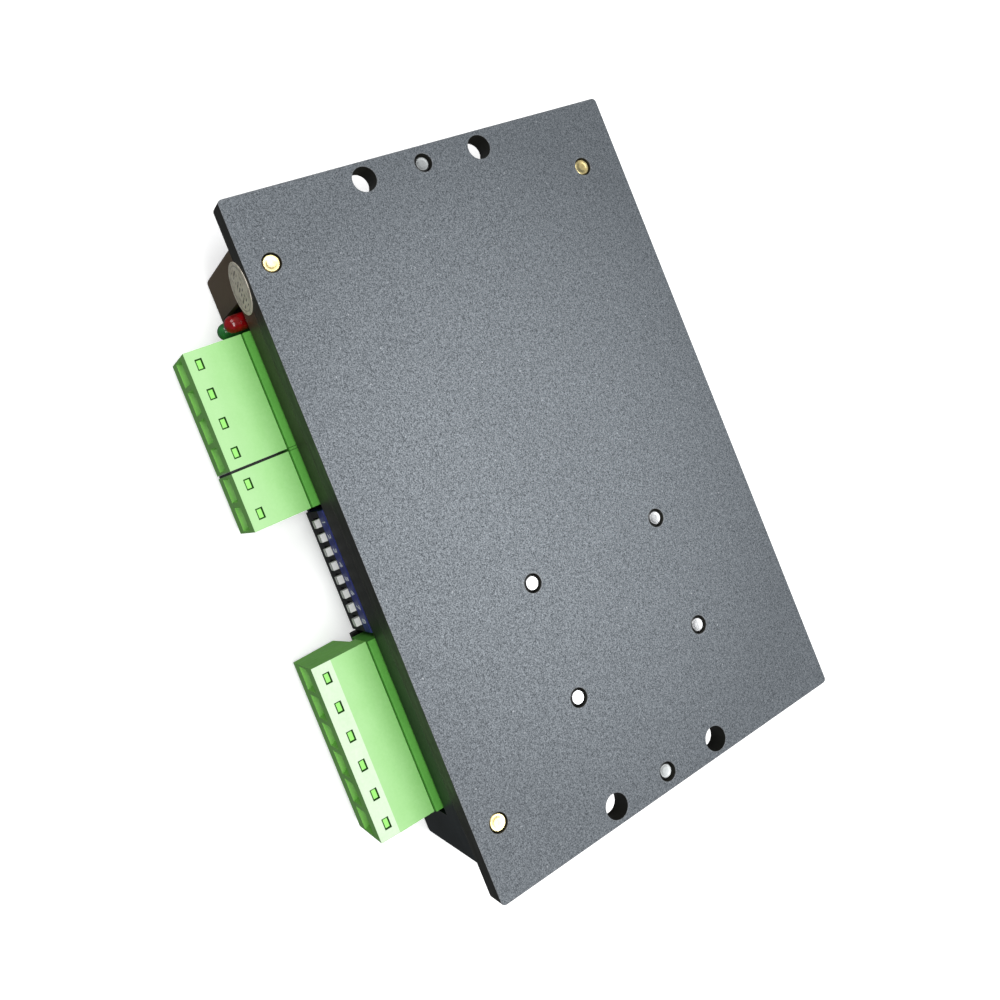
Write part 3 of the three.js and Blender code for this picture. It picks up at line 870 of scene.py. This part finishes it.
def addSpreader():
    spreader = copyOfNode("heat_spreader", "heatSpreader")
    softenEdges(spreader, 0.3 * mm, 2)
    finishPiece(spreader, "plate", "root", "blasted_aluminium", ["heat_spreader"])
    low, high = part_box("heat_spreader")
    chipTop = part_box("circuit_board")[1].z + 1.5 * mm
    pad = addBlock("thermalPad", (low.x + 3 * mm, low.y + 6 * mm, chipTop + 0.05 * mm),
                   (high.x - 3 * mm, high.y - 6 * mm, low.z))
    softenEdges(pad, 0.15 * mm, 2)
    finishPiece(pad, "pad", "root", "label_paper")


capacitorSpec = {"groove": 0.35 * mm, "grooveAt": 2.2 * mm, "lead": 0.3 * mm, "leadGap": 2.5 * mm,
                 "leadBend": 1.45 * mm}


def addCapacitor(index):
    low, high, spot = measure(f"capacitor_{index}")
    radius = (high.x - low.x) / 2
    can = addRound(f"capacitor{index}", (spot.x, low.y, spot.z), (spot.x, high.y, spot.z), radius, 48)
    editWhole(can)
    for offset in (1.4, 2.2, 3.0):
        bpy.ops.mesh.select_all(action="SELECT")
        bpy.ops.mesh.bisect(plane_co=(0, low.y + offset * mm, 0), plane_no=(0, 1, 0))
    doneEditing()
    groove = low.y + capacitorSpec["grooveAt"]
    pickEdges(can, lambda a, b: abs(a.y - groove) < 1e-6 and abs(b.y - groove) < 1e-6)
    shrink = 1 - capacitorSpec["groove"] / radius
    bpy.ops.transform.resize(value=(shrink, 1, shrink), center_override=(spot.x, groove, spot.z))
    doneEditing()
    softenEdges(can, 0.35 * mm, 3, 50)
    finishPiece(can, "sleeve", "root", "sleeve_black", [f"capacitor_{index}"])
    cap = addRound(f"capacitorTop{index}", (spot.x, high.y - 0.1 * mm, spot.z),
                   (spot.x, high.y + 0.05 * mm, spot.z), radius * 0.84, 48)
    vents = []
    for a, b in ((2.6 * mm, 0.12 * mm), (0.12 * mm, 2.6 * mm)):
        vents.append(addBlock("tool", (spot.x - a, high.y - 0.02 * mm, spot.z - b),
                              (spot.x + a, high.y + mm, spot.z + b)))
    boolean(cap, vents)
    finishTin(cap)
    leads = []
    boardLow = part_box("circuit_board")[0]
    for side in (-1, 1):
        x = spot.x + side * capacitorSpec["leadGap"]
        bend = low.y - capacitorSpec["leadBend"]
        lead = addRound("lead", (x, low.y + 0.1 * mm, spot.z), (x, bend - 0.15 * mm, spot.z),
                        capacitorSpec["lead"], 12)
        drop = addPost("drop", (x, bend), spot.z - 0.2 * mm, boardLow.z, capacitorSpec["lead"], 12)
        leads += [lead, drop]
    wires = joinPieces(leads, f"capacitorLeads{index}")
    finishTin(wires)


addBoard()
for name, values in chipSpec.items():
    addChip(name, values)
addSmallParts()
addSpreader()
for index in (1, 2):
    addCapacitor(index)
print("board made")


# terminal blocks

terminalBlocks = {"4way": 4, "2way": 2, "6way": 6}
headerSpec = {"mouthWall": 0.8 * mm, "backWall": 2 * mm, "edge": 0.18 * mm, "pinHalf": 0.5 * mm,
              "tailTop": 1.2 * mm, "solder": (1.15 * mm, 0.6 * mm, 0.8 * mm)}
tongueZ = (8.1 * mm, 12.2 * mm)
pinZ = 10.15 * mm


def poleSpots(name, count):
    return [middleOf(f"screw_{name}_{pole + 1}").x for pole in range(count)]


def addHeader(name, count):
    low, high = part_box(f"header_{name}")
    wall = headerSpec["mouthWall"]
    shroud = addBlock(f"header{name}", low, high)
    mouth = addBlock("tool", (low.x + wall, low.y - mm, tongueZ[0] - 0.3 * mm),
                     (high.x - wall, high.y - headerSpec["backWall"], tongueZ[1] + 0.3 * mm))
    boolean(shroud, [mouth])
    keys = []
    for x in poleSpots(name, count):  # key slots through the far wall, one for each pole
        keys.append(addBlock("tool", (x - 0.9 * mm, low.y - mm, low.z + 1.2 * mm),
                             (x + 0.9 * mm, low.y + 3.5 * mm, tongueZ[0])))
    boolean(shroud, keys)
    softenEdges(shroud, headerSpec["edge"], 2)
    finishPiece(shroud, "header", "root", "header_green", [f"header_{name}"])
    half = headerSpec["pinHalf"]
    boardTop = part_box("circuit_board")[1].z
    pins = []
    for x in poleSpots(name, count):
        start, end = low.y + 0.8 * mm, high.y - headerSpec["backWall"] + 0.3 * mm
        pin = addBlock("pin", (x - half, start, pinZ - half), (x + half, end, pinZ + half))
        taperFaces(pin, looksOut, (0.55, 1, 0.55), (x, start, pinZ))
        tail = addBlock("tail", (x - half, high.y - mm, high.z - 0.2 * mm),
                        (x + half, high.y - 0.1 * mm, boardTop + headerSpec["tailTop"]))
        wide, narrow, rise = headerSpec["solder"]
        tailY = high.y - 0.55 * mm
        solder = addPost("solder", (x, tailY), boardTop, boardTop + rise, wide, 20, narrow)
        pins += [pin, tail, solder]
    contacts = joinPieces(pins, f"contactPins{name}")
    softenEdges(contacts, 0.08 * mm, 1)
    finishTin(contacts)


plugSpec = {"towerY": -40.95 * mm, "stepY": -40.05 * mm, "outerZ": 2 * mm, "waistZ": 7.8 * mm,
            "tongueInset": 1.1 * mm, "edge": 0.2 * mm, "mouthZ": (5.6 * mm, 9.6 * mm),
            "mouthHalf": 1.75 * mm, "flare": 0.35 * mm, "chamberHalf": 2 * mm,
            "chamberY": (-47 * mm, -41.8 * mm), "chamberZ": (4.7 * mm, 12.2 * mm),
            "screwHole": 2.1 * mm, "socketHalf": 0.85 * mm,
            "testHole": (0.95 * mm, 0.6 * mm, 0.75 * mm), "testMoat": 0.24 * mm, "testStep": 0.45 * mm,
            "testY": -47.1 * mm, "stripY": -45.6 * mm, "stripDrop": 0.16 * mm, "paintedSheenPlug": "6way"}


def addPlug(name, count):
    values = plugSpec
    node = f"plug_{name}"
    low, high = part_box(node)
    outerY, nearZ = low.y, high.z
    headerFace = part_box(f"header_{name}")[0].y - 0.1 * mm
    screwY = middleOf(f"screw_{name}_1").y
    body = addBlock("plug" + name, (low.x, outerY, low.z), (high.x, values["stepY"], nearZ))
    slope = Vector((0, values["towerY"] - outerY, low.z - values["outerZ"]))
    cutPlane(body, (0, outerY, values["outerZ"]), Vector((1, 0, 0)).cross(slope) * -1)
    back = Vector((0, values["stepY"] - values["towerY"], values["waistZ"] - low.z))
    cutPlane(body, (0, values["towerY"], low.z), Vector((1, 0, 0)).cross(back) * -1)
    waist = addBlock("waist", (low.x, values["stepY"] - 0.9 * mm, values["waistZ"]),
                     (high.x, headerFace, nearZ))
    boolean(body, [waist], "UNION")
    if name == values["paintedSheenPlug"]:
        strip = Vector((0, values["stripY"] - outerY, values["stripDrop"]))
        cutPlane(body, (0, values["stripY"], nearZ), Vector((1, 0, 0)).cross(strip))
    tongue = addBlock("tongue", (low.x + values["tongueInset"], headerFace - mm, tongueZ[0]),
                      (high.x - values["tongueInset"], high.y, tongueZ[1]))
    boolean(body, [tongue], "UNION")
    spots = poleSpots(name, count)
    for x in spots:
        half = values["mouthHalf"]
        mouth = addBlock("tool", (x - half, outerY - mm, values["mouthZ"][0]),
                         (x + half, values["chamberY"][0] + 0.5 * mm, values["mouthZ"][1]))
        flare = addBlock("tool", (x - half, outerY - 0.5 * mm, values["mouthZ"][0]),
                         (x + half, outerY + 0.9 * mm, values["mouthZ"][1]))
        grow = 1 + values["flare"] / half * 1.6
        taperFaces(flare, looksOut, (grow, 1, grow), (x, outerY, sum(values["mouthZ"]) / 2))
        half = values["chamberHalf"]
        chamber = addBlock("tool", (x - half, values["chamberY"][0], values["chamberZ"][0]),
                           (x + half, values["chamberY"][1], values["chamberZ"][1]))
        hole = addPost("tool", (x, screwY), -mm, values["chamberZ"][0] + 0.5 * mm, values["screwHole"], 40)
        halfX, halfY, deep = values["testHole"]
        test = addBlock("tool", (x - halfX, values["testY"] - halfY, nearZ - deep),
                        (x + halfX, values["testY"] + halfY, nearZ + mm))
        insetFaces(test, looksDown, [(values["testMoat"], -values["testStep"])])
        half = values["socketHalf"]
        socket = addBlock("tool", (x - half, values["chamberY"][1] - 0.5 * mm, pinZ - half),
                          (x + half, high.y + mm, pinZ + half))
        for tool in (mouth, flare, chamber, hole, test, socket):
            boolean(body, [tool])
    softenEdges(body, values["edge"], 2, 30)
    finishPiece(body, "plug", node, "plug_green", [node], 40)
    for kind in ("pocketShade", "paintedSheen", "plugFaceLitGradient"):
        body.data.materials.append(finishes[kind])
    for face in body.data.polygons:
        inPocket = any(abs(face.center.x - x) < values["testHole"][0] + 1e-5 for x in spots)
        inPocket = inPocket and abs(face.center.y - values["testY"]) < values["testHole"][1] + 1e-5
        # painted shade: the walls of each test pocket take the darker pocket finish, and its floor the
        # plain plug green
        if inPocket and nearZ - values["testHole"][2] - 1e-5 < face.center.z < nearZ - 0.2 * mm:
            face.material_index = 1 if face.normal.z < 0.9 else 0
        # painted sheen: the outer strip of the 6-way plug's face takes the pale sheen finish
        elif name == values["paintedSheenPlug"] and face.center.y < values["stripY"] and face.normal.z > 0.9:
            face.material_index = 2 if face.center.z > nearZ - 0.5 * mm else 0
        # painted light: the plug's top faces take the lit gradient finish
        elif face.normal.z > 0.9 and face.center.z > nearZ - 0.1 * mm:
            face.material_index = 3


ribSpec = {"gap": 0.03 * mm, "y": (-48.95 * mm, -40.6 * mm), "z": (2.6 * mm, 12.0 * mm)}


def addHeaderJoint():  # closes the seam between the two headers that stand end to end
    left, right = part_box("header_4way"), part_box("header_2way")
    gap = ribSpec["gap"]
    joint = addBlock("headerJoint", (left[1].x + gap, left[0].y + gap, left[0].z + gap),
                     (right[0].x - gap, left[1].y - gap, left[1].z - 4 * gap))
    softenEdges(joint, 0.05 * mm, 2)
    finishPiece(joint, "header", "root", "header_green")


def addGapShadeRib():  # a black block on the end of the 2-way plug, in the groove beside the 4-way one, as painted shade in the gap
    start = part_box("plug_4way")[1].x + ribSpec["gap"]
    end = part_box("plug_2way")[0].x + 0.2 * mm
    rib = addBlock("gapShadeRib", (start, ribSpec["y"][0], ribSpec["z"][0]),
                   (end, ribSpec["y"][1], ribSpec["z"][1]))
    softenEdges(rib, 0.08 * mm, 2)
    finishPiece(rib, "blackPlasticAndShade", "plug_2way", "plug_green")


terminalScrewSpec = {"slotHalf": 0.36 * mm, "slotDepth": 0.85 * mm, "slotReach": 3 * mm,
                     "crossReach": 1.1 * mm, "chamfer": 0.3 * mm, "headHeight": 1.8 * mm, "pitch": 0.5 * mm,
                     "root": 1.0 * mm, "crest": 1.2 * mm}


def addTerminalScrew(node):
    low, high, spot = measure(node)
    values = terminalScrewSpec
    chamfer, headHeight = values["chamfer"], values["headHeight"]
    head = addPost("terminalScrew", spot, low.z + chamfer, low.z + headHeight, (high.x - low.x) / 2, 40)
    pickFaces(head, looksDown)
    bpy.ops.mesh.extrude_region_move(TRANSFORM_OT_translate={"value": (0, 0, -chamfer)})
    bpy.ops.transform.resize(value=(0.82, 0.82, 1), center_override=(spot.x, spot.y, low.z))
    doneEditing()
    half, floorZ = values["slotHalf"], low.z + values["slotDepth"]
    slots = []
    for a, b in ((values["slotReach"], half), (half, values["crossReach"])):
        slots.append(addBlock("tool", (spot.x - a, spot.y - b, low.z - mm),
                              (spot.x + a, spot.y + b, floorZ)))
    boolean(head, slots)
    softenEdges(head, 0.08 * mm, 2)
    rings = [head]
    step, root, crest = values["pitch"], values["root"], values["crest"]
    count = int((high.z - low.z - headHeight) / step)
    for turn in range(count):  # the thread's ridges
        z = low.z + headHeight - 0.1 * mm + turn * step
        rings.append(addPost("ridge", spot, z, z + step / 2, root, 24, crest))
        rings.append(addPost("ridge", spot, z + step / 2, z + step, crest, 24, root))
    return joinPieces(rings, "terminalScrew")


def addWireClamp(node):
    cage = copyOfNode(node, "wireClamp")
    softenEdges(cage, 0.12 * mm, 2)
    return cage


def addPoleMetal():
    firstScrew = firstClamp = None
    for name, count in terminalBlocks.items():
        for pole in range(count):
            screwNode, clampNode = f"screw_{name}_{pole + 1}", f"clamp_{name}_{pole + 1}"
            if firstScrew is None:
                firstScrew, firstClamp = addTerminalScrew(screwNode), addWireClamp(clampNode)
                origin = middleOf(screwNode)
            shift = middleOf(screwNode) - origin
            screw = copyAt(firstScrew, f"terminalScrew{name}_{pole + 1}", shift)
            clamp = copyAt(firstClamp, f"wireClamp{name}_{pole + 1}", shift)
            finishPiece(screw, "zinc", screwNode, "zinc_steel", [screwNode], 30)
            finishPiece(clamp, "zinc", clampNode, "zinc_steel", [clampNode], 30)
    for spare in (firstScrew, firstClamp):
        bpy.data.objects.remove(spare, do_unlink=True)


for name, count in terminalBlocks.items():
    addHeader(name, count)
    addPlug(name, count)
    print("terminal block made:", name)
addHeaderJoint()
addGapShadeRib()
addPoleMetal()
print("terminal screws and clamps made")


# setting switches

switchSpec = {"count": 8, "slotZ": (6.7 * mm, 10.3 * mm), "slotHalf": 0.9 * mm, "slotDepth": 1.6 * mm,
              "edge": 0.15 * mm, "shadeBandZ": 10.45 * mm, "digitHeight": 1.5 * mm, "digitZ": 11.9 * mm,
              "ink": 0.03 * mm, "legRows": (2.2 * mm, 4.6 * mm), "legTop": 1.0 * mm,
              "solder": (0.75 * mm, 0.35 * mm, 0.6 * mm)}


def addSwitches():
    low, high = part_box("dip_body")
    values = switchSpec
    body = addBlock("switchBody", low, high)
    softenEdges(body, values["edge"], 2)
    spots = [middleOf(f"dip_slider_{i + 1}").x for i in range(values["count"])]
    for x in spots:
        boolean(body, [addBlock("tool", (x - values["slotHalf"], low.y - mm, values["slotZ"][0]),
                                (x + values["slotHalf"], low.y + values["slotDepth"], values["slotZ"][1]))])
    editWhole(body)
    bpy.ops.mesh.bisect(plane_co=(0, 0, values["shadeBandZ"]), plane_no=(0, 0, 1))
    doneEditing()
    finishPiece(body, "switch", "root", "switch_blue", ["dip_body"])
    # painted shade: the switch face below the numeral band and the slot walls take the black finish
    body.data.materials.append(finishes["blackPlasticAndShade"])
    for face in body.data.polygons:
        if face.center.z < values["shadeBandZ"] and face.center.y < low.y + values["slotDepth"] + 1e-6:
            face.material_index = 1
    digits = []
    for number, x in enumerate(spots):
        bpy.ops.object.text_add(location=(x, low.y - values["ink"], values["digitZ"]),
                                rotation=(math.pi / 2, 0, 0))
        digit = bpy.context.object
        digit.data.body = str(number + 1)
        digit.data.size = values["digitHeight"] * 1.35
        digit.data.align_x = "CENTER"
        digit.data.align_y = "CENTER"
        digit.data.extrude = values["ink"] * 0.9
        makeActive(digit)
        bpy.ops.object.convert(target="MESH")
        digits.append(settle(bpy.context.object, "digit"))
    numerals = joinPieces(digits, "switchNumerals")
    editWhole(numerals)
    bpy.ops.mesh.remove_doubles(threshold=1e-7)
    doneEditing()
    finishPiece(numerals, "ink", "root", "knob_white")
    firstKnob = None
    for index in range(values["count"]):
        node = f"dip_slider_{index + 1}"
        if firstKnob is None:
            firstKnob, origin = addKnob(node), middleOf(node)
        knob = copyAt(firstKnob, f"switchKnob{index + 1}", middleOf(node) - origin)
        finishPiece(knob, "knob", node, "knob_white", [node])
    bpy.data.objects.remove(firstKnob, do_unlink=True)


def addKnob(node):
    low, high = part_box(node)
    knob = addBlock("knob", low, high)
    pickFaces(knob, looksOut)
    bpy.ops.transform.resize(value=(0.92, 1, 0.9), center_override=tuple((low + high) / 2))
    bpy.ops.mesh.inset(thickness=0.22 * mm, depth=0)
    bpy.ops.mesh.inset(thickness=0.06 * mm, depth=-0.08 * mm)
    doneEditing()
    return softenEdges(knob, 0.1 * mm, 2)


def addSwitchLegs():
    low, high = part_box("dip_body")
    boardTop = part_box("circuit_board")[1].z
    wide, narrow, rise = switchSpec["solder"]
    legs = []
    for index in range(switchSpec["count"]):
        x = middleOf(f"dip_slider_{index + 1}").x
        for row in switchSpec["legRows"]:
            y = low.y + row
            legs.append(addBlock("leg", (x - 0.25 * mm, y - 0.15 * mm, high.z - 0.2 * mm),
                                 (x + 0.25 * mm, y + 0.15 * mm, boardTop + switchSpec["legTop"])))
            legs.append(addPost("solder", (x, y), boardTop, boardTop + rise, wide, 16, narrow))
    strip = softenEdges(joinPieces(legs, "switchLegs"), 0.04 * mm, 1)
    finishTin(strip)


addSwitches()
addSwitchLegs()
print("switches made")


# indicator lamps

lampSpec = {"radius": 1.5 * mm, "flange": 1.85 * mm, "flangeLength": 0.9 * mm, "lead": 0.25 * mm,
            "leadSide": 1.016 * mm, "leadRun": 2.2 * mm}


def addLamp(node, name, finish, slot):
    low, high, spot = measure(node)
    radius = lampSpec["radius"]
    domeY = low.y + radius
    lens = addBall(name, (spot.x, spot.z, -domeY), radius, 48, 24)
    lens.rotation_euler.x = math.pi / 2  # its poles lie along Y
    lens = settle(lens, name)
    pickFaces(lens, lambda centre, normal: centre.y > domeY)
    bpy.ops.mesh.delete(type="FACE")
    bpy.ops.mesh.select_mode(type="EDGE")
    bpy.ops.mesh.select_non_manifold()
    grow = lampSpec["flange"] / radius
    brim = lampSpec["flangeLength"]
    for run, scale in ((high.y - brim - domeY, 1), (0, grow), (brim, 1)):
        bpy.ops.mesh.extrude_region_move(TRANSFORM_OT_translate={"value": (0, run, 0)})
        bpy.ops.transform.resize(value=(scale, 1, scale), center_override=(spot.x, 0, spot.z))
    bpy.ops.mesh.edge_face_add()
    bpy.ops.mesh.select_all(action="SELECT")
    bpy.ops.mesh.normals_make_consistent(inside=False)
    doneEditing()
    softenEdges(lens, 0.08 * mm, 2, 50)
    finishPiece(lens, finish, "root", slot, [node], 50)
    back = high.y + 0.02 * mm
    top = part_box("circuit_board")[1].z + mm
    half, run = lampSpec["lead"], lampSpec["leadRun"]
    wires = []
    for side in (-1, 1):
        x = spot.x + side * lampSpec["leadSide"]
        for start, topZ in ((back, spot.z + half), (back + run - 2 * half, top)):
            wires.append(addBlock("lead", (x - half, start, spot.z - half), (x + half, back + run, topZ)))
    strip = softenEdges(joinPieces(wires, name + "Leads"), 0.05 * mm, 1)
    finishTin(strip)


def addLampHolder():
    red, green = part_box("red_led"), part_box("green_led")
    low = Vector((min(red[0].x, green[0].x), red[1].y - 0.2 * mm, green[0].z - 0.4 * mm))
    high = Vector((max(red[1].x, green[1].x), red[1].y + 1.6 * mm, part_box("circuit_board")[0].z))
    holder = addBlock("lampHolder", low, high)
    for node in ("red_led", "green_led"):
        spot = middleOf(node)
        boolean(holder, [addRound("tool", (spot.x, low.y - mm, spot.z), (spot.x, low.y + 0.22 * mm, spot.z),
                                  lampSpec["flange"] + 0.05 * mm, 40)])
    softenEdges(holder, 0.15 * mm, 2)
    finishPiece(holder, "blackPlasticAndShade", "root", "sleeve_black")


addLamp("red_led", "redLamp", "red", "red_lens")
addLamp("green_led", "greenLamp", "green", "green_lens")
addLampHolder()
print("lamps made")


# seal

def addSeal():
    low, high, spot = measure("seal_sticker")
    seal = addRound("sealSticker", (spot.x, high.y, spot.z), (spot.x, low.y + 0.04 * mm, spot.z),
                    (high.z - low.z) / 2, 96)
    insetFaces(seal, looksOut, [(0.9 * mm, 0)] * 4)
    for point in seal.data.vertices:  # a slight crinkle in the paper
        if point.co.y < high.y - 0.05 * mm:
            reach = (Vector((point.co.x, 0, point.co.z)) - Vector((spot.x, 0, spot.z))).length / (4.4 * mm)
            wave = math.sin(point.co.x * 2600 + 1.0) * math.cos(point.co.z * 2100)
            point.co.y += (wave * 0.018 - 0.012 * (1 - reach)) * mm
    finishPiece(seal, "seal", "root", "label_paper", ["seal_sticker"])


addSeal()
